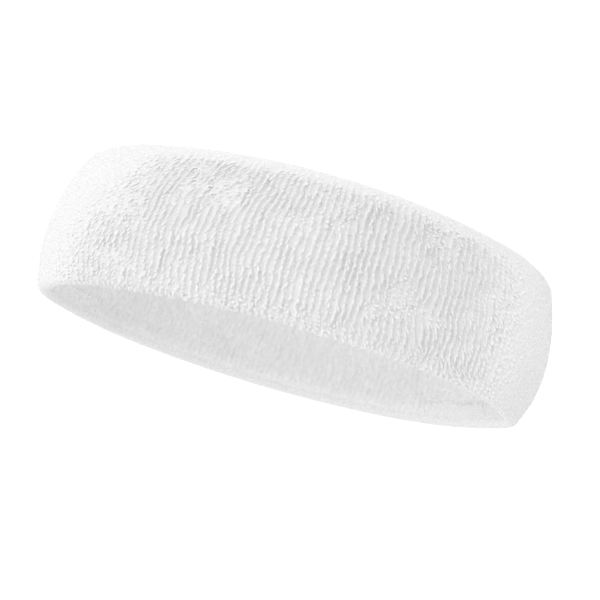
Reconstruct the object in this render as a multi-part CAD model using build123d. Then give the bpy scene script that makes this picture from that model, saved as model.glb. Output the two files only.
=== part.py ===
from build123d import *
import os
from math import asin, cos, degrees, radians, sin

os.makedirs("parts", exist_ok=True)

# A terry sweatband for the head, in millimetres: one tube of terry knit, turned double and closed
# by a seam inside the upper rim. It stands open on its lower rim, with +Z up along the axis of the
# head opening, X along the long axis of the oval and -Y towards the forehead. The origin is the
# middle of the footprint.

# Overall size
band_height = 50.0
half_length = 85.4
front_depth = 40.7
back_depth = 43.2
crown = 1.9  # the wall stands out this much further at mid-height than at its rims

# The oval, as turning angles in degrees from the middle of a long side, and the radius of its ends
long_side_turn = 25.0
front_shoulder_turn = 58.0
back_shoulder_turn = 56.0
front_end_radius = 14.6
back_end_radius = 17.5

# Layers of the wall, from its outer face inwards
pile = 1.35
backing = 0.75
space_between_plies = 0.5
wall = 2 * (pile + backing) + space_between_plies

# Lower rim: pressed flat by this much where the band rests on it
rest_land_depth = 0.15

# Covered elastic yarns, laid round the band between the two plies
elastic_diameter = 0.42
elastic_rings_per_ply = 10
elastic_first_height = 5.0
elastic_last_height = 36.5

# The closing seam, on the inner face below the upper rim
seam_height = 41.5
seam_groove_width = 1.1
seam_groove_depth = 0.85
seam_allowance_height = 5.0
seam_allowance_thickness = 0.4
stitch_count = 120
stitch_length = 2.2
stitch_diameter = 0.6
stitch_clearance = 0.03

middle_height = band_height / 2
crown_radius = (middle_height**2 + crown**2) / (2 * crown)
rim_radius = wall / 2
centre_radius = crown_radius - rim_radius
rim_angle = degrees(asin((middle_height - rim_radius) / centre_radius))


def half_oval(depth, shoulder_turn, end_radius):
    """The +Y half of an oval as tangent arcs, each (centre x, centre y, radius, start, size)."""
    sin_long, cos_long = sin(radians(long_side_turn)), cos(radians(long_side_turn))
    sin_shoulder, cos_shoulder = sin(radians(shoulder_turn)), cos(radians(shoulder_turn))
    reach_x = half_length - end_radius * (1 - sin_shoulder)
    reach_y = depth - end_radius * cos_shoulder
    gain_x = sin_shoulder - sin_long
    gain_y = cos_long - cos_shoulder
    scale = sin_long * gain_y - gain_x * (1 - cos_long)
    long_radius = (reach_x * gain_y - reach_y * gain_x) / scale
    shoulder_radius = (sin_long * reach_y - (1 - cos_long) * reach_x) / scale
    end_x = half_length - end_radius
    step = shoulder_radius - end_radius
    shoulder_x = end_x - step * sin_shoulder
    shoulder_y = -step * cos_shoulder
    end_size = 90 - shoulder_turn
    shoulder_size = shoulder_turn - long_side_turn
    return [
        (end_x, 0, end_radius, 0, end_size),
        (shoulder_x, shoulder_y, shoulder_radius, end_size, shoulder_size),
        (0, depth - long_radius, long_radius, 90 - long_side_turn, 2 * long_side_turn),
        (-shoulder_x, shoulder_y, shoulder_radius, 90 + long_side_turn, shoulder_size),
        (-end_x, 0, end_radius, 90 + shoulder_turn, end_size),
    ]


def whole_oval():
    """All the arcs of the outer face at mid-height, counter-clockwise from the +X end."""
    back = half_oval(back_depth, back_shoulder_turn, back_end_radius)
    front = half_oval(front_depth, front_shoulder_turn, front_end_radius)
    turned = [(-x, -y, radius, start + 180, size) for x, y, radius, start, size in front]
    return back + turned


oval = whole_oval()


def around(section):
    """Carries a flat section, drawn as (distance outwards from the oval, height), round the oval."""
    segments = []
    for x, y, radius, start, size in oval:
        outwards = Vector(cos(radians(start)), sin(radians(start)), 0)
        backwards = Vector(sin(radians(start)), -cos(radians(start)), 0)
        plane = Plane(origin=(x, y, 0), x_dir=outwards, z_dir=backwards)
        face = plane * Pos(radius, 0) * section
        segments.append(revolve(face, axis=Axis((x, y, 0), (0, 0, 1)), revolution_arc=size))
    ring = segments[0].fuse(*segments[1:])
    return ring.clean()


def section_point(depth, angle):
    """A point of the wall's section, from its depth below the outer face and crown angle."""
    reach = crown_radius - depth
    return (reach * cos(radians(angle)) - crown_radius, middle_height + reach * sin(radians(angle)))


def angle_at(height):
    return degrees(asin((height - middle_height) / centre_radius))


def layer_section(shallow, deep, low_angle, high_angle):
    """A strip of the wall between two depths and two crown angles, as a flat face."""
    size = high_angle - low_angle
    outer_edge = CenterArc((-crown_radius, middle_height), crown_radius - shallow, low_angle, size)
    inner_edge = CenterArc((-crown_radius, middle_height), crown_radius - deep, low_angle, size)
    upper_edge = Line(section_point(shallow, high_angle), section_point(deep, high_angle))
    lower_edge = Line(section_point(shallow, low_angle), section_point(deep, low_angle))
    return make_face([outer_edge, inner_edge, upper_edge, lower_edge])


def rim_section(angle, start):
    """The half round of cloth that joins the two plies at a rim, open to the space between them."""
    x, z = section_point(rim_radius, angle)
    half_space = space_between_plies / 2
    round_edge = CenterArc((x, z), rim_radius, start, 180)
    fold_edge = CenterArc((x, z), half_space, start, 180)
    near_edge = Line(round_edge @ 0, fold_edge @ 0)
    far_edge = Line(round_edge @ 1, fold_edge @ 1)
    return make_face([round_edge, fold_edge, near_edge, far_edge])


def ply_layer(shallow, deep):
    return around(layer_section(shallow, deep, -rim_angle, rim_angle))


def make_outer_terry_face():
    return ply_layer(0, pile)


def make_outer_backing_knit():
    return ply_layer(pile, pile + backing)


def make_inner_backing_knit():
    return ply_layer(wall - pile - backing, wall - pile)


def make_inner_terry_face():
    """The loops against the head, with the groove that the closing seam pulls into them."""
    half_groove = degrees(seam_groove_width / 2 / (crown_radius - wall))
    seam_angle = angle_at(seam_height)
    face = layer_section(wall - pile, wall, -rim_angle, rim_angle)
    groove = layer_section(
        wall - seam_groove_depth,
        wall + pile,
        seam_angle - half_groove,
        seam_angle + half_groove,
    )
    return around(face - groove)


def make_upper_rolled_rim():
    return around(rim_section(rim_angle, rim_angle))


def make_lower_rolled_rim():
    """The rim that the band stands on, pressed to a narrow flat land."""
    rim = around(rim_section(-rim_angle, 180 - rim_angle))
    floor_size = 3 * half_length
    floor = Box(floor_size, floor_size, band_height, align=(Align.CENTER, Align.CENTER, Align.MAX))
    return rim - Pos(0, 0, rest_land_depth) * floor


def make_elastic_yarns(lift):
    """One ply's covered elastic yarns, each a closed ring. lift places them between the other's."""
    spacing = (elastic_last_height - elastic_first_height) / (elastic_rings_per_ply - 0.5)
    rings = []
    for number in range(elastic_rings_per_ply):
        height = elastic_first_height + (number + lift) * spacing
        centre = section_point(rim_radius, angle_at(height))
        rings.append(around(Pos(*centre) * Circle(elastic_diameter / 2)))
    return Compound(children=rings)


def make_seam_allowance():
    """The tube's two raw edges, turned down into the space between the plies."""
    top_angle = angle_at(seam_height + seam_groove_width)
    bottom_angle = angle_at(seam_height + seam_groove_width - seam_allowance_height)
    shallow = rim_radius - seam_allowance_thickness / 2
    deep = rim_radius + seam_allowance_thickness / 2
    return around(layer_section(shallow, deep, bottom_angle, top_angle))


def stations(inset, count):
    """Evenly spaced points on the oval moved inwards by inset, each (x, y, outward angle)."""
    lengths = [radians(size) * (radius - inset) for _, _, radius, _, size in oval]
    spacing = sum(lengths) / count
    places = []
    passed = 0
    for (x, y, radius, start, size), length in zip(oval, lengths):
        reach = radius - inset
        while len(places) < count and len(places) * spacing < passed + length:
            angle = start + size * (len(places) * spacing - passed) / length
            across = reach * cos(radians(angle))
            along = reach * sin(radians(angle))
            places.append((x + across, y + along, angle))
        passed += length
    return places


def make_seam_thread():
    """The closing stitches, a short bar of thread for each, in the groove of the inner face."""
    bar = Cylinder(stitch_diameter / 2, stitch_length, rotation=(90, 0, 0))
    bar = fillet(bar.edges().filter_by(GeomType.CIRCLE), 0.45 * stitch_diameter)
    depth = wall - seam_groove_depth + stitch_diameter / 2 + stitch_clearance
    seam_reach, seam_z = section_point(depth, angle_at(seam_height))
    stitches = []
    for x, y, angle in stations(-seam_reach, stitch_count):
        stitches.append(Pos(x, y, seam_z) * Rot(0, 0, angle) * bar)
    return Compound(children=stitches)


sub_parts = {
    "outer_terry_face": make_outer_terry_face(),
    "outer_backing_knit": make_outer_backing_knit(),
    "outer_elastic_yarns": make_elastic_yarns(0),
    "inner_elastic_yarns": make_elastic_yarns(0.5),
    "inner_backing_knit": make_inner_backing_knit(),
    "inner_terry_face": make_inner_terry_face(),
    "upper_rolled_rim": make_upper_rolled_rim(),
    "lower_rolled_rim": make_lower_rolled_rim(),
    "seam_allowance": make_seam_allowance(),
    "seam_thread": make_seam_thread(),
}

# The oval is drawn from the line between its two ends, and the origin is the footprint's middle.
to_origin = Pos(0, (front_depth - back_depth) / 2, -rest_land_depth)
for name, shape in sub_parts.items():
    export_step(to_origin * shape, f"parts/{name}.step")
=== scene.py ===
import math

import bpy
import numpy as np
from mathutils import Matrix, Vector


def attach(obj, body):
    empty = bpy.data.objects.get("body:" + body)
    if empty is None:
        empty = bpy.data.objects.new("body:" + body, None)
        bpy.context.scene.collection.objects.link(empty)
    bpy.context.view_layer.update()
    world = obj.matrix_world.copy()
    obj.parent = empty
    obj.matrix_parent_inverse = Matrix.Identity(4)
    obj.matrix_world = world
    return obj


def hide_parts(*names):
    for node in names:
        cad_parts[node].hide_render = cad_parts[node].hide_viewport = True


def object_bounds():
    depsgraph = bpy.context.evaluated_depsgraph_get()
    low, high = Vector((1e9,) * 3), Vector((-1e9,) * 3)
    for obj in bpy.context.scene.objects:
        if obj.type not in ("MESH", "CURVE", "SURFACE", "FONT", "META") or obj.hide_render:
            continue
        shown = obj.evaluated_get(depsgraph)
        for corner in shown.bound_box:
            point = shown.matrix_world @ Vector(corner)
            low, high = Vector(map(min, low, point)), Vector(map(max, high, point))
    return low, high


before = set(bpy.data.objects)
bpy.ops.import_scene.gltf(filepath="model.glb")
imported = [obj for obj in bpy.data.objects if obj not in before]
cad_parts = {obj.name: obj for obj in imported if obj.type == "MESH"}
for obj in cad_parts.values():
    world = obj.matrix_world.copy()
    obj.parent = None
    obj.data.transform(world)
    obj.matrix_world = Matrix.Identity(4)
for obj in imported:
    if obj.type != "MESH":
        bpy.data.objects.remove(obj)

# A white terry sweatband, one knitted tube turned double. Its four stretches of cloth (outer face,
# upper rim, inner face, lower rim) are one surface in two coordinates: the wale, or rib, counted
# round the band, and the distance along the wall's section. Each stretch has a ground cloth and a
# pile of yarn loops, tall ones in ribs and short ones between them. The layers between the two
# faces are made over it in the same coordinates. Lengths are in millimetres until a mesh is made.
cad_low, cad_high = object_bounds()
MM = 0.001
seed = 20
rng = np.random.default_rng(seed)

# The oval and the wall, as the CAD has them
band_height = (cad_high.z - cad_low.z) / MM
half_length = (cad_high.x - cad_low.x) / 2 / MM
front_share = 0.485  # of the band's depth that lies in front of the line between its ends
depth = (cad_high.y - cad_low.y) / MM
front_depth = front_share * depth
back_depth = depth - front_depth
ends_y = cad_low.y / MM + front_depth
crown = 1.9
wall = 4.7
long_side_turn = math.radians(25)
front_shoulder_turn = math.radians(58)
back_shoulder_turn = math.radians(56)
front_end_radius = 14.6
back_end_radius = 17.5

# The soft wall leaves the oval a little near its two ends: it stands out by its fullness at
# mid-height, and is drawn in at the upper rim
slump_from = 45.0
right_fullness = 1.7
right_draw = 1.0
left_fullness = 0.7
left_draw = 4.2

# The knit: ribs of tall loops with short loops between them. A loop's reach is how far it leans
# along its rib, and its top is how high its crown stands above the band's face.
wales = 186
course = 1.15
groove_depth = 1.08  # from the band's face down to the ground cloth between two ribs
ridge_height = 0.6
ridge_sharpness = 1.4
edge_line = 0.03  # a line of the ground's mesh this far inside each edge keeps its shading even
yarn_radius = 0.21
loop_width = 0.38
outer_reach = 1.9
outer_top = 0.15
inner_reach = 1.6
inner_top = 0.0
rim_reach = 1.3
tall_rise = 0.85
lean_fullness = 0.9  # powers of a sine, which make an arch rounder the lower they are
rise_fullness = 0.7
short_yarn_radius = 0.2
short_rise = 0.55
short_drop = 0.68  # how far their crowns are below those of matted loops
short_share = 0.6  # of a tall loop's reach

# Where the pile is matted flat, its loops are lower, shorter, wider and more even
matted_yarn_radius = 0.3
matted_loop_width = 0.66
matted_rise = 0.32
matted_top = -0.11
matted_shortening = 0.4
matted_evenness = 0.8
loose_shortening = 0.8  # where loops lie out of line they are shorter too

# Chance in the knit, as random spreads. Loops move sideways by these parts of a wale,
tall_jitter = 0.04
loose_jitter = 0.3
matted_jitter = 0.1
short_jitter = 0.15
# along the rib by these parts of a course,
row_jitter = 0.15
matted_row_jitter = 0.15
# and turn by these angles in radians.
tall_scatter = 0.12
loose_scatter = 0.9
short_scatter = 1.2
# Loops and ribs also differ in size,
size_spread = 0.1
size_limits = (0.6, 1.4)
rib_spread = 0.18
rib_limits = (0.5, 1.4)
# and wales and yarns waver, in millimetres.
wide_drift = 0.25
fine_drift = 0.26
yarn_waver = 0.035

# The layers between the two faces
pile = 1.35
backing = 0.75
layer_ripple = 0.05
elastic_diameter = 0.42
elastic_rings_per_ply = 10
elastic_first_height = 5.0
elastic_last_height = 36.5
ring_wave = 0.15
ring_wave_length = 9.0

# The closing seam, in a groove of the inner face
seam_height = 41.5
seam_allowance_height = 5.0
seam_allowance_thickness = 0.4
seam_groove_width = 1.1
seam_softness = 0.6  # of the groove's width
seam_clearance = 0.18  # of the groove's width, bare of loops on each side of the stitches
seam_depth = 0.5
stitch_count = 120
stitch_length = 2.2
stitch_radius = 0.26
stitch_rise = 0.45
stitch_sink = 0.1
stitch_slant = 0.5
stitch_scatter = 0.12


# ---------------------------------------------------------------- the wall's shape
def half_oval(depth, shoulder_turn, end_radius):
    """The +Y half of the oval as tangent arcs, each (centre x, centre y, radius, start, size)."""
    sin_long, cos_long = math.sin(long_side_turn), math.cos(long_side_turn)
    sin_shoulder, cos_shoulder = math.sin(shoulder_turn), math.cos(shoulder_turn)
    reach_x = half_length - end_radius * (1 - sin_shoulder)
    reach_y = depth - end_radius * cos_shoulder
    gain_x = sin_shoulder - sin_long
    gain_y = cos_long - cos_shoulder
    scale = sin_long * gain_y - gain_x * (1 - cos_long)
    long_radius = (reach_x * gain_y - reach_y * gain_x) / scale
    shoulder_radius = (sin_long * reach_y - (1 - cos_long) * reach_x) / scale
    end_x = half_length - end_radius
    step = shoulder_radius - end_radius
    shoulder_x = end_x - step * sin_shoulder
    shoulder_y = -step * cos_shoulder
    end_size = math.pi / 2 - shoulder_turn
    shoulder_size = shoulder_turn - long_side_turn
    long_start = math.pi / 2 - long_side_turn
    return [
        (end_x, 0, end_radius, 0, end_size),
        (shoulder_x, shoulder_y, shoulder_radius, end_size, shoulder_size),
        (0, depth - long_radius, long_radius, long_start, 2 * long_side_turn),
        (-shoulder_x, shoulder_y, shoulder_radius, math.pi - long_start, shoulder_size),
        (-end_x, 0, end_radius, math.pi - end_size, end_size),
    ]


def whole_oval():
    back = half_oval(back_depth, back_shoulder_turn, back_end_radius)
    front = half_oval(front_depth, front_shoulder_turn, front_end_radius)
    return np.array(back + [(-x, -y, radius, start + math.pi, size) for x, y, radius, start, size in front])


oval = whole_oval()
arc_ends = np.concatenate([[0], np.cumsum(oval[:, 2] * oval[:, 4])])
circumference = arc_ends[-1]
wale_pitch = circumference / wales

crown_radius = ((band_height / 2) ** 2 + crown**2) / (2 * crown)
rim_radius = wall / 2
middle_radius = crown_radius - rim_radius
inner_radius = crown_radius - wall
rim_angle = math.asin((band_height / 2 - rim_radius) / middle_radius)
rim_x = middle_radius * math.cos(rim_angle) - crown_radius
rim_z = middle_radius * math.sin(rim_angle)
outer_length = 2 * rim_angle * crown_radius
inner_length = 2 * rim_angle * inner_radius
rim_length = math.pi * rim_radius
section_ends = np.cumsum([0, outer_length, rim_length, inner_length, rim_length])
outer_start, outer_end, inner_start, inner_end, section_length = section_ends

seam_angle = math.asin((seam_height - band_height / 2) / middle_radius)
seam_q = inner_start + (rim_angle - seam_angle) * inner_radius


def round_oval(s):
    """Position and outward direction at distance s round the oval, counter-clockwise from +X."""
    s = np.mod(s, circumference)
    arc = np.clip(np.searchsorted(arc_ends, s, side="right") - 1, 0, len(oval) - 1)
    x, y, radius, start, _ = np.moveaxis(oval[arc], -1, 0)
    angle = start + (s - arc_ends[arc]) / radius
    out_x, out_y = np.cos(angle), np.sin(angle)
    return x + radius * out_x, y + radius * out_y, out_x, out_y


def round_section(q):
    """Offset from the oval, height and outward direction at distance q round the wall's section:
    up the outer face, over the upper rim, down the inner face and under the lower rim."""
    q = np.mod(q, section_length)
    part = np.clip(np.searchsorted(section_ends, q, side="right") - 1, 0, 3)
    along = q - section_ends[part]
    angle = np.choose(
        part,
        [
            along / crown_radius - rim_angle,
            rim_angle + along / rim_radius,
            rim_angle - along / inner_radius,
            math.pi - rim_angle + along / rim_radius,
        ],
    )
    centre_u = np.choose(part, [-crown_radius, rim_x, -crown_radius, rim_x])
    centre_z = np.choose(part, [0, rim_z, 0, -rim_z])
    radius = np.choose(part, [crown_radius, rim_radius, inner_radius, rim_radius])
    facing = np.where(part == 2, -1.0, 1.0)
    out_u, out_z = np.cos(angle), np.sin(angle)
    return centre_u + radius * out_u, centre_z + radius * out_z, facing * out_u, facing * out_z


def ease(value):
    value = np.clip(value, 0, 1)
    return value * value * (3 - 2 * value)


def height_share(q):
    """Height up the wall, from 0 at the lower rim to 1 at the upper one, on either face."""
    q = np.mod(q, section_length)
    up = (q - outer_start) / outer_length
    down = 1 - (q - inner_start) / inner_length
    return np.clip(np.where(q < inner_start, up, down), 0, 1)


def slump(x, share):
    """How far the soft wall stands out of its oval near the two ends: full at mid-height, and
    drawn in at the upper rim, more at the -X end."""
    right = ease((x - slump_from) / (half_length - slump_from))
    left = ease((-x - slump_from) / (half_length - slump_from))
    full = 4 * share * (1 - share)
    right_out = right_fullness * full - right_draw * share**4
    left_out = left_fullness * full - left_draw * share**4
    return right * right_out + left * left_out


def place(s, q, lift, lowest=0.0):
    """Points of the wall, in metres, raised from its face by lift and no lower than lowest."""
    x, y, out_x, out_y = round_oval(s)
    u, z, out_u, out_z = round_section(q)
    reach = u + lift * out_u + slump(x, height_share(q))
    height = np.maximum(band_height / 2 + z + lift * out_z, lowest)
    return np.stack([x + reach * out_x, y + reach * out_y + ends_y, height], axis=-1) * MM


# ---------------------------------------------------------------- irregular knit
rows = 300
row_q = np.arange(rows) * section_length / rows
wale_s = np.arange(wales) * wale_pitch

# Near the +X end of the forehead's side the wales bow sideways, most at both rims
bow_from, bow_to = -8.0, 32.0
bow_depth = 5.5
bow_middle = 0.6


def wander(wale_span, row_span):
    """Smooth random numbers of unit spread for every wale and row, repeating both ways. The spans
    are how far, in wales and in millimetres, neighbours move together."""
    grid = rng.standard_normal((wales, rows))
    wale_rate = np.fft.fftfreq(wales)[:, None] * wale_span
    row_rate = np.fft.fftfreq(rows)[None, :] * row_span * rows / section_length
    smooth = np.exp(-2 * (math.pi**2) * (wale_rate**2 + row_rate**2) / 4)
    field = np.fft.ifft2(np.fft.fft2(grid) * smooth).real
    return field / field.std()


def leaning():
    """How far the wales bow sideways near the +X end of the forehead's side."""
    x, y, _, _ = round_oval(wale_s)
    near = ease((x - bow_from) / (bow_to - bow_from)) * (y < 0)
    bow = ((height_share(row_q) - bow_middle) / bow_middle) ** 2
    return -bow_depth * near[:, None] * bow[None, :]


# Ribs fade along the folds, over these distances, and at the two ends
lower_border = 4.6
lower_border_growth = 3.0  # more of it towards the -X end
upper_border = 2.6
inner_relief = 0.65
end_matting = 0.93
right_matted_from = 43.0
right_matted_growth = 18.0  # at the upper rim they fade this much nearer the end
left_matted_from = 50.0
matted_blend = 24.0
patch_matting = 0.25
crest_relief = 0.85  # how far they still stand out on the upper rim's crest
inner_fold_relief = 0.2

# How far loops lie out of line, from 0 to 1, at each part of the wall. Along the forehead's side
# of the upper rim, the ribs break up into beads.
end_disorder = 0.4
patch_disorder = 0.6
lower_fold_disorder = 0.25
inner_fold_disorder = 0.15
inner_disorder = 0.05
beaded_border = 4.0
beaded_disorder = 0.45
beading_blend = 1.0

# The ribs of the forehead's side stand out more round this place along it
deep_ribs = 0.5
deep_middle = -30.0
deep_spread = 36.0

# Random rubbed patches of pile: the part of a unit spread that makes one, and its soft edge
patch_threshold = 1.3
patch_blend = 0.8

# Places on the forehead's side where the pile is rubbed out of line: x, height and radius
rubbed_places = [(31, 14, 5.5), (-5, 15.5, 2.5), (60, 24, 6), (-22, 41, 3)]
rubbed_edge = 1.6  # they fade out at this many radii


def make_near_end():
    """How near each place is to one of the two ends, from 0 to 1, which at the +X end is sooner
    towards the lower rim."""
    x = round_oval(wale_s)[0][:, None]
    right = (x - right_matted_from - right_matted_growth * height_share(row_q)[None, :]) / matted_blend
    left = (-x - left_matted_from) / matted_blend
    return ease(np.maximum(right, left))


def make_patches():
    """Where the pile is rubbed flat and out of line, from 0 to 1: random places and a few more."""
    patches = ease((wander(wale_span=3, row_span=5) - patch_threshold) / patch_blend)
    x, y = round_oval(wale_s)[:2]
    height = height_share(row_q) * band_height
    on_face = (row_q < outer_length)[None, :] & (y < 0)[:, None]
    for place_x, place_z, radius in rubbed_places:
        away = np.hypot(x[:, None] - place_x, height[None, :] - place_z) / radius
        patches = np.maximum(patches, on_face * ease(rubbed_edge - away))
    return patches


def make_relief():
    """How far the ribs stand out: 1 on the outer face, and more where they are deep. It is less on
    the inner face, along the folds, at the two ends and in rubbed patches, and 0 where the cloth is
    smooth: along the lower fold, and on the upper rim behind."""
    crest = (outer_end + inner_start) / 2
    distances = [0, outer_end, crest, inner_start, inner_start + upper_border]
    amounts = [1, 1, crest_relief, inner_fold_relief, inner_relief]
    distances += [inner_end - lower_border, inner_end, section_length]
    amounts += [inner_relief, 0, 0]
    along = np.interp(row_q, distances, amounts)[None, :]
    smooth_crest = np.interp(row_q, [outer_end - beaded_border, outer_end, inner_start], [0, 1, 1])
    x, y = round_oval(wale_s)[:2]
    smooth_crest = smooth_crest * (row_q < inner_start)
    along = along * (1 - smooth_crest[None, :] * (y > 0)[:, None])
    border = lower_border + lower_border_growth * ease(-x / half_length)
    folded = ease(row_q[None, :] / border[:, None])
    deeper = 1 + deep_ribs * ease(1 - np.abs(x - deep_middle) / deep_spread) * (y < 0)
    return along * folded * deeper[:, None] * (1 - end_matting * near_end) * (1 - patch_matting * patches)


def make_disorder():
    """How far single loops lie out of line, from 0 to 1: at the two ends, in rubbed patches, and on
    the forehead's side of the upper rim, where the ribs break up into beads."""
    distances = [0, lower_border, outer_end - beaded_border]
    amounts = [lower_fold_disorder, 0, 0]
    distances += [outer_end - beading_blend, outer_end + rim_length / 3]
    amounts += [beaded_disorder, beaded_disorder]
    distances += [inner_start, inner_start + upper_border, inner_end, section_length]
    amounts += [inner_fold_disorder, inner_disorder, inner_disorder, lower_fold_disorder]
    along = np.interp(row_q, distances, amounts)[None, :]
    return np.maximum(np.maximum(along, end_disorder * near_end), patch_disorder * patches)


near_end = make_near_end()
wide_shift = wide_drift * wander(wale_span=6, row_span=7)
fine_shift = fine_drift * wander(wale_span=2.5, row_span=4)
shift = wide_shift + fine_shift + leaning()
strength = np.clip(1 + rib_spread * wander(wale_span=1.5, row_span=4), *rib_limits)
patches = make_patches()
relief = make_relief()
disorder = make_disorder()


def sample(field, wale, q):
    """A field's value at fractional wales and distances, from the four nearest stored ones."""
    row = np.mod(q, section_length) / section_length * rows
    w0, r0 = np.floor(wale).astype(int), np.floor(row).astype(int)
    fw, fr = wale - w0, row - r0
    w0, w1 = w0 % wales, (w0 + 1) % wales
    r0, r1 = r0 % rows, (r0 + 1) % rows
    low = field[w0, r0] * (1 - fw) + field[w1, r0] * fw
    high = field[w0, r1] * (1 - fw) + field[w1, r1] * fw
    return low * (1 - fr) + high * fr


def wale_place(wale, q):
    """Distance round the oval of a fractional wale at q, with the knit's drift."""
    return wale * wale_pitch + sample(shift, wale, q)


# ---------------------------------------------------------------- meshes
def make_mesh(name, points, faces, material):
    mesh = bpy.data.meshes.new(name)
    mesh.vertices.add(len(points))
    mesh.vertices.foreach_set("co", points.astype(np.float32).ravel())
    mesh.loops.add(faces.size)
    mesh.loops.foreach_set("vertex_index", faces.astype(np.int32).ravel())
    mesh.polygons.add(len(faces))
    mesh.polygons.foreach_set("loop_start", np.arange(len(faces), dtype=np.int32) * 4)
    mesh.update(calc_edges=True)
    mesh.shade_smooth()
    mesh.materials.append(material)
    piece = bpy.data.objects.new(name, mesh)
    bpy.context.scene.collection.objects.link(piece)
    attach(piece, "root")
    return piece


def grid_faces(columns, lines, wrap_columns=True, wrap_lines=False):
    """Quads of a grid stored column by column."""
    c = np.arange(columns if wrap_columns else columns - 1)[:, None]
    r = np.arange(lines if wrap_lines else lines - 1)[None, :]
    c1, r1 = (c + 1) % columns, (r + 1) % lines
    quads = [c * lines + r, c1 * lines + r, c1 * lines + r1, c * lines + r1]
    return np.stack(np.broadcast_arrays(*quads), axis=-1).reshape(-1, 4)


def make_band(name, face, back, material):
    """A closed band of cloth between two grids of points, both stored column by column."""
    points = np.concatenate([face, back[:, ::-1]], axis=1)
    lines = points.shape[1]
    faces = grid_faces(len(points), lines, wrap_lines=True)
    return make_mesh(name, points.reshape(-1, 3), faces, material)


def seam_share(q):
    """1 in the closing seam's groove on the inner face, 0 away from it."""
    return np.exp(-(((q - seam_q) / (seam_softness * seam_groove_width)) ** 2))


def make_ground(name, q_start, q_end, line_count, thickness, material):
    """The ground cloth between two distances of the section, ridged under each rib."""
    per_wale = 6
    back_lines = max(line_count // 6, 5)
    wale = (np.arange(wales * per_wale) / per_wale)[:, None]
    inside = np.linspace(q_start + edge_line, q_end - edge_line, line_count - 2)
    wale_face, q = np.broadcast_arrays(wale, np.concatenate([[q_start], inside, [q_end]])[None, :])
    ridge = ridge_height * (0.5 + 0.5 * np.cos(2 * math.pi * wale_face)) ** ridge_sharpness
    lift = sample(relief, wale_face, q) * (ridge * sample(strength, wale_face, q) - groove_depth)
    lift = lift + (-seam_depth - lift) * seam_share(q)
    face = place(wale_place(wale_face, q), q, lift)
    wale_back, q = np.broadcast_arrays(wale, np.linspace(q_start, q_end, back_lines)[None, :])
    back = place(wale_place(wale_back, q), q, np.full(q.shape, -thickness))
    return make_band(name, face, back, material)


def make_layer(node, top, bottom, low_height, high_height, material):
    """A plain cloth between two depths below the outer face, from one height to another."""
    per_wale, line_count = 2, 40
    s = (np.arange(wales * per_wale) / per_wale * wale_pitch)[:, None]
    q = np.linspace(outer_q_at(low_height), outer_q_at(high_height), line_count)[None, :]
    s, q = np.broadcast_arrays(s, q)
    ripple = layer_ripple * np.cos(2 * math.pi * s / wale_pitch)
    face = place(s, q, ripple - top - layer_ripple)
    back = place(s, q, ripple - bottom + layer_ripple)
    return replace_node(make_band(node + "_cloth", face, back, material), node)


def outer_q_at(height):
    """Distance up the outer face of a height, measured at the middle of the wall."""
    angle = math.asin((height - band_height / 2) / middle_radius)
    return (angle + rim_angle) * crown_radius


def arches(wale, q, size, turn, flat, reach, top, rise, radius, steps):
    """Centre lines of loops of yarn, each an arch that leans along the rib and lies over the foot of
    the next. Everything but steps is one value for each loop."""
    t = np.linspace(0, 1, steps)[None, :]
    number = len(wale)
    width = loop_width + (matted_loop_width - loop_width) * flat[:, None]
    across = -0.5 * width * np.cos(math.pi * t)
    along = (reach * size)[:, None] * np.sin(math.pi * t) ** lean_fullness
    up = (top - rise)[:, None] + rise[:, None] * np.sin(math.pi * t) ** rise_fullness * size[:, None]
    cos_turn, sin_turn = np.cos(turn)[:, None], np.sin(turn)[:, None]
    path_s = across * cos_turn - along * sin_turn
    path_q = across * sin_turn + along * cos_turn - 0.5 * reach[:, None]
    uneven = yarn_waver * rng.standard_normal((3, number, steps))
    s = wale_place(wale[:, None], q[:, None] + path_q) + path_s + uneven[0]
    return place(s, q[:, None] + path_q + uneven[1], up + uneven[2], radius[:, None])


def tubes(centres, radius, sides):
    """Points and quads of a tube of yarn along each row of centres. Each row is an arch that lies
    nearly in one plane, and the plane's normal keeps the tube from twisting."""
    steps = centres.shape[1]
    tangent = np.gradient(centres, axis=1)
    tangent /= np.linalg.norm(tangent, axis=-1, keepdims=True)
    feet = centres[:, -1] - centres[:, 0]
    rise = centres[:, steps // 2] - (centres[:, 0] + centres[:, -1]) / 2
    side = np.broadcast_to(np.cross(feet, rise)[:, None], tangent.shape)
    side = side - np.sum(side * tangent, axis=-1, keepdims=True) * tangent
    side /= np.linalg.norm(side, axis=-1, keepdims=True)
    other = np.cross(tangent, side)
    angle = np.arange(sides) * 2 * math.pi / sides
    ring = side[:, :, None] * np.cos(angle)[:, None] + other[:, :, None] * np.sin(angle)[:, None]
    points = centres[:, :, None] + radius[:, None, None, None] * MM * ring
    one = grid_faces(steps, sides, wrap_columns=False, wrap_lines=True)
    faces = one[None] + (np.arange(len(centres)) * steps * sides)[:, None, None]
    return points.reshape(-1, 3), faces.reshape(-1, 4)


def scattered(first_wale, last_wale, q_start, q_end, offset):
    """One place for each wale and course of a stretch, slightly out of line: wale, distance, size."""
    count = round((q_end - q_start) / course)
    wale, row = np.meshgrid(np.arange(first_wale, last_wale), np.arange(count), indexing="ij")
    wale = wale.ravel() + offset
    row = row.ravel() + 0.5
    flat = 1 - sample(relief, wale, q_start + row * (q_end - q_start) / count)
    row = row + (row_jitter + matted_row_jitter * flat) * rng.standard_normal(wale.size)
    q = np.clip(q_start + row * (q_end - q_start) / count, q_start, q_end)
    size = np.clip(1 + size_spread * rng.standard_normal(wale.size), *size_limits)
    open_seam = np.abs(q - seam_q) > seam_clearance * seam_groove_width
    return wale[open_seam], q[open_seam], size[open_seam]


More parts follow.
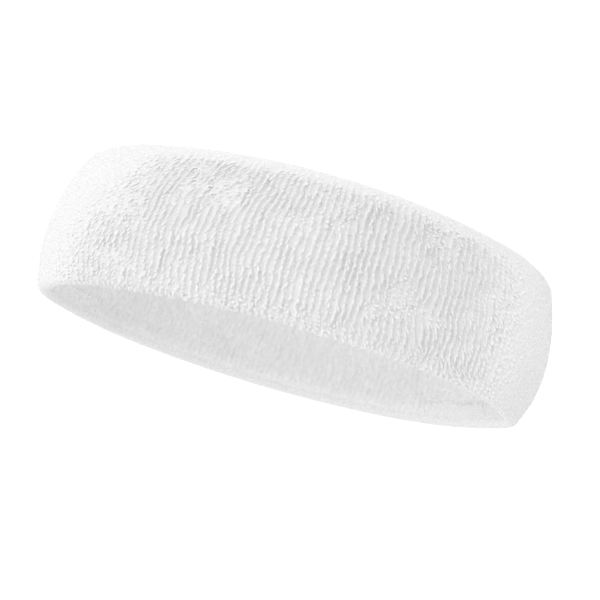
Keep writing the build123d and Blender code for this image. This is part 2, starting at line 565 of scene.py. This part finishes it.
def make_pile(name, wale_range, q_start, q_end, reach, top, material):
    """The pile of some wales of a stretch: tall loops in ribs, and short ones between them."""
    wale, q, size = scattered(*wale_range, q_start, q_end, 0)
    flat = 1 - sample(relief, wale, q)
    loose = sample(disorder, wale, q)
    jitter = tall_jitter + loose_jitter * loose + matted_jitter * flat
    wale = wale + jitter * rng.standard_normal(wale.size)
    size = size * sample(strength, wale, q)
    size = 1 + (size - 1) * (1 - matted_evenness * flat)
    turn = (tall_scatter + loose_scatter * loose) * rng.standard_normal(wale.size)
    rise = tall_rise + (matted_rise - tall_rise) * flat
    height = top + (matted_top - top) * flat
    tall_reach = reach * (1 - matted_shortening * flat) * (1 - loose_shortening * loose)
    tall_radius = yarn_radius + (matted_yarn_radius - yarn_radius) * flat
    tall = arches(wale, q, size, turn, flat, tall_reach, height, rise, tall_radius, steps=7)

    wale, q, size = scattered(*wale_range, q_start, q_end, 0.5)
    flat = 1 - sample(relief, wale, q)
    wale = wale + short_jitter * rng.standard_normal(wale.size)
    size = 1 + (size - 1) * (1 - matted_evenness * flat)
    turn = short_scatter * rng.standard_normal(wale.size)
    height = matted_top - short_drop * (1 - flat)
    rise = short_rise + (matted_rise - short_rise) * flat
    short_reach = reach * (short_share + (1 - matted_shortening - short_share) * flat)
    short_radius = short_yarn_radius + (matted_yarn_radius - short_yarn_radius) * flat
    short = arches(wale, q, size, turn, flat, short_reach, height, rise, short_radius, steps=5)

    points, faces = tubes(tall, tall_radius, sides=5)
    short_points, short_faces = tubes(short, short_radius, sides=4)
    points = np.concatenate([points, short_points])
    faces = np.concatenate([faces, short_faces + len(points) - len(short_points)])
    return make_mesh(name, points, faces, material)


def make_rings(node, heights, material):
    """Covered elastic yarns between the plies, each a closed ring at its own height."""
    sides, per_wale = 8, 2
    s = np.arange(wales * per_wale) / per_wale * wale_pitch
    angle = np.arange(sides) * 2 * math.pi / sides
    points, faces = [], []
    for number, height in enumerate(heights):
        q = outer_q_at(height) + elastic_diameter / 2 * np.cos(angle)[None, :]
        lift = elastic_diameter / 2 * np.sin(angle)[None, :] - wall / 2
        wave = ring_wave * np.sin(2 * math.pi * s / ring_wave_length + number)[:, None]
        across, q, lift = np.broadcast_arrays(s[:, None], q + wave, lift)
        points.append(place(across, q, lift).reshape(-1, 3))
        faces.append(grid_faces(len(s), sides, wrap_lines=True) + number * len(s) * sides)
    ring = make_mesh(node + "_yarns", np.concatenate(points), np.concatenate(faces), material)
    return replace_node(ring, node)


def make_stitches(node, material):
    """The closing seam's stitches, each a short arch of thread in the groove of the inner face."""
    steps = 7
    t = np.linspace(0, 1, steps)[None, :]
    middle = (np.arange(stitch_count) * circumference / stitch_count)[:, None]
    drift = stitch_scatter * rng.standard_normal((stitch_count, 1))
    s = middle + stitch_length * (t - 0.5)
    q = seam_q + drift + stitch_slant * (t - 0.5)
    lift = stitch_rise * np.sin(math.pi * t) - seam_depth - stitch_sink
    centres = place(*np.broadcast_arrays(s, q, lift))
    points, faces = tubes(centres, np.full(stitch_count, stitch_radius), sides=6)
    return replace_node(make_mesh(node + "_stitches", points, faces, material), node)


# ---------------------------------------------------------------- materials
sheen_weight = 0.25
sheen_roughness = 0.5
specular_level = 0.2
fibre_scale = 900
fibre_detail = 4
fibre_shade = 0.94  # the share of a yarn's white that its darkest fibres keep
dark_fibre, light_fibre = 0.3, 0.7  # the noise's values that get the darkest and the full white
fibre_height = 0.12 * MM
fibre_bump = 0.35


def terry_material(name, colour, roughness):
    """White yarn whose fibres are a fine noise, seen in its shade and its bump."""
    material = bpy.data.materials.new(name)
    material.use_nodes = True
    nodes, links = material.node_tree.nodes, material.node_tree.links
    shader = nodes["Principled BSDF"]
    shader.inputs["Roughness"].default_value = roughness
    shader.inputs["Sheen Weight"].default_value = sheen_weight
    shader.inputs["Sheen Roughness"].default_value = sheen_roughness
    shader.inputs["Specular IOR Level"].default_value = specular_level
    place_in = nodes.new("ShaderNodeTexCoord")
    fibre = nodes.new("ShaderNodeTexNoise")
    fibre.inputs["Scale"].default_value = fibre_scale
    fibre.inputs["Detail"].default_value = fibre_detail
    tint = nodes.new("ShaderNodeValToRGB")
    tint.color_ramp.elements[0].position = dark_fibre
    tint.color_ramp.elements[0].color = (*[channel * fibre_shade for channel in colour], 1)
    tint.color_ramp.elements[1].position = light_fibre
    tint.color_ramp.elements[1].color = (*colour, 1)
    bump = nodes.new("ShaderNodeBump")
    bump.inputs["Strength"].default_value = fibre_bump
    bump.inputs["Distance"].default_value = fibre_height
    links.new(place_in.outputs["Object"], fibre.inputs["Vector"])
    links.new(fibre.outputs["Fac"], tint.inputs["Fac"])
    links.new(tint.outputs["Color"], shader.inputs["Base Color"])
    links.new(fibre.outputs["Fac"], bump.inputs["Height"])
    links.new(bump.outputs["Normal"], shader.inputs["Normal"])
    return material


# ---------------------------------------------------------------- the pieces
# Grooves let in less light than loops, so the ground cloth is painted a darker white than its pile: painted
# shade in the grooves between the ribs. On the inner face this painted shade is lighter, which brightens
# that face.
white_pile = terry_material("white_pile", colour=(0.95, 0.95, 0.95), roughness=0.95)
white_ground_painted_shade = terry_material("white_ground_painted_shade", colour=(0.86, 0.86, 0.86), roughness=0.95)
white_inner_pile = terry_material("white_inner_pile", colour=(0.95, 0.95, 0.95), roughness=0.95)
white_inner_ground_painted_shade = terry_material("white_inner_ground_painted_shade", colour=(0.93, 0.93, 0.93), roughness=0.95)
white_backing = terry_material("white_backing", colour=(0.9, 0.9, 0.89), roughness=0.9)
white_elastic = terry_material("white_elastic", colour=(0.9, 0.9, 0.88), roughness=0.6)
white_thread = terry_material("white_thread", colour=(0.93, 0.93, 0.93), roughness=0.7)


def replace_node(piece, node):
    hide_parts(node)
    return piece


def make_stretch(node, stretch, line_count, thickness, pile_count, reach, top, whites):
    """The ground cloth and the pile of one CAD node, which they replace, between two distances of
    the section. The pile is in pile_count pieces round the band."""
    start, end = stretch
    ground_white, pile_white = whites
    ground = make_ground(node + "_cloth", start, end, line_count, thickness, ground_white)
    replace_node(ground, node)
    limits = np.linspace(0, wales, pile_count + 1).astype(int)
    piles = []
    for number, wale_range in enumerate(zip(limits[:-1], limits[1:]), start=1):
        name = f"{node}_pile_{number}"
        piles.append(make_pile(name, wale_range, start, end, reach, top, pile_white))
    return ground, piles


ply = pile + backing
outer_whites = (white_ground_painted_shade, white_pile)
inner_whites = (white_inner_ground_painted_shade, white_inner_pile)
face_lines, rim_lines = 60, 14
face_piles, rim_piles = 4, 1
outer_cloth, outer_piles = make_stretch(
    "outer_terry_face",
    (outer_start, outer_end),
    face_lines,
    thickness=pile,
    pile_count=face_piles,
    reach=outer_reach,
    top=outer_top,
    whites=outer_whites,
)
upper_rim, upper_piles = make_stretch(
    "upper_rolled_rim",
    (outer_end, inner_start),
    rim_lines,
    thickness=ply,
    pile_count=rim_piles,
    reach=rim_reach,
    top=outer_top,
    whites=outer_whites,
)
inner_cloth, inner_piles = make_stretch(
    "inner_terry_face",
    (inner_start, inner_end),
    face_lines,
    thickness=pile,
    pile_count=face_piles,
    reach=inner_reach,
    top=inner_top,
    whites=inner_whites,
)
lower_rim, lower_piles = make_stretch(
    "lower_rolled_rim",
    (inner_end, section_length),
    rim_lines,
    thickness=ply,
    pile_count=rim_piles,
    reach=rim_reach,
    top=outer_top,
    whites=outer_whites,
)

ring_spacing = (elastic_last_height - elastic_first_height) / (elastic_rings_per_ply - 0.5)
ring_heights = elastic_first_height + np.arange(elastic_rings_per_ply) * ring_spacing
backing_margin = 1.02 * rim_radius  # the backing knits end this far from the rims
ply_depths = {"outer_backing_knit": pile, "inner_backing_knit": wall - pile - backing}
for node, depth_below in ply_depths.items():
    bottom = depth_below + backing
    make_layer(
        node, depth_below, bottom, backing_margin, band_height - backing_margin, white_backing
    )
allowance_top = seam_height + seam_groove_width
seam_allowance = make_layer(
    "seam_allowance",
    (wall - seam_allowance_thickness) / 2,
    (wall + seam_allowance_thickness) / 2,
    allowance_top - seam_allowance_height,
    allowance_top,
    white_backing,
)
make_rings("outer_elastic_yarns", ring_heights, white_elastic)
make_rings("inner_elastic_yarns", ring_heights + ring_spacing / 2, white_elastic)
make_stitches("seam_thread", white_thread)


# ---------------------------------------------------------------- stage, light and camera
floor_radius = 4
floor_grey = 0.35
floor_glow = 0.72
dim_side = (-0.75, -0.65, 0.1)
dim_surround = 0.66
bright_surround = 1.03
dimming_from, dimming_to = 0.1, 0.9  # cosines of a direction's angle from the dim side
light_bounces = 12
diffuse_bounces = 10


def make_floor():
    """A pale floor that glows a little."""
    bpy.ops.mesh.primitive_circle_add(vertices=96, radius=floor_radius, fill_type="NGON")
    floor = bpy.context.object
    floor.name = "floor"
    material = bpy.data.materials.new("floor")
    material.use_nodes = True
    shader = material.node_tree.nodes["Principled BSDF"]
    shader.inputs["Base Color"].default_value = (floor_grey, floor_grey, floor_grey, 1)
    shader.inputs["Roughness"].default_value = 1
    shader.inputs["Emission Color"].default_value = (1, 1, 1, 1)
    shader.inputs["Emission Strength"].default_value = floor_glow
    floor.data.materials.append(material)


def make_light(name, location, size, power):
    """A round soft light that faces the origin."""
    light = bpy.data.lights.new(name, "AREA")
    light.shape = "DISK"
    light.size = size
    light.energy = power
    lamp = bpy.data.objects.new(name, light)
    lamp.location = location
    lamp.rotation_euler = (-Vector(location)).to_track_quat("-Z", "Y").to_euler()
    bpy.context.scene.collection.objects.link(lamp)


def make_world():
    """A white surround with one dim side, past the -X end of the forehead's side."""
    world = bpy.data.worlds.new("studio")
    world.use_nodes = True
    nodes, links = world.node_tree.nodes, world.node_tree.links
    direction = nodes.new("ShaderNodeTexCoord")
    towards = nodes.new("ShaderNodeVectorMath")
    towards.operation = "DOT_PRODUCT"
    towards.inputs[1].default_value = dim_side
    dimming = nodes.new("ShaderNodeMapRange")
    dimming.inputs["From Min"].default_value = dimming_from
    dimming.inputs["From Max"].default_value = dimming_to
    dimming.inputs["To Min"].default_value = bright_surround
    dimming.inputs["To Max"].default_value = dim_surround
    links.new(direction.outputs["Generated"], towards.inputs[0])
    links.new(towards.outputs["Value"], dimming.inputs["Value"])
    links.new(dimming.outputs["Result"], nodes["Background"].inputs["Strength"])
    nodes["Background"].inputs["Color"].default_value = (1, 1, 1, 1)
    bpy.context.scene.world = world


def make_camera():
    """The camera stands a quarter of a metre off, above the band, and is turned nearly upside down."""
    distance, elevation, roll = 252.0, math.radians(21.56), math.radians(15.945)
    lens, sensor_width = 44.75, 36
    shift_x, shift_y = -0.0006, -0.0126
    sin_e, cos_e, sin_r, cos_r = math.sin(elevation), math.cos(elevation), math.sin(roll), math.cos(roll)
    right = (-cos_r, -sin_r * sin_e, -sin_r * cos_e)
    up = (sin_r, -cos_r * sin_e, -cos_r * cos_e)
    back = (0, -cos_e, sin_e)
    turn = Matrix([right, up, back]).transposed().to_4x4()
    middle = Vector((0, ends_y, band_height / 2))
    data = bpy.data.cameras.new("camera")
    data.sensor_width = sensor_width
    data.lens = lens
    data.shift_x = shift_x
    data.shift_y = shift_y
    data.clip_start = 0.01
    camera = bpy.data.objects.new("camera", data)
    camera.matrix_world = Matrix.Translation((middle + distance * Vector(back)) * MM) @ turn
    bpy.context.scene.collection.objects.link(camera)
    bpy.context.scene.camera = camera


make_world()
make_floor()
make_light("key", location=(0.7, -1.1, 0.1), size=0.3, power=2.0)
make_light("top_fill", location=(-0.4, -0.9, 0.9), size=0.5, power=0.65)
make_camera()
bpy.context.scene.cycles.max_bounces = light_bounces
bpy.context.scene.cycles.diffuse_bounces = diffuse_bounces
bpy.context.scene.view_settings.view_transform = "Standard"
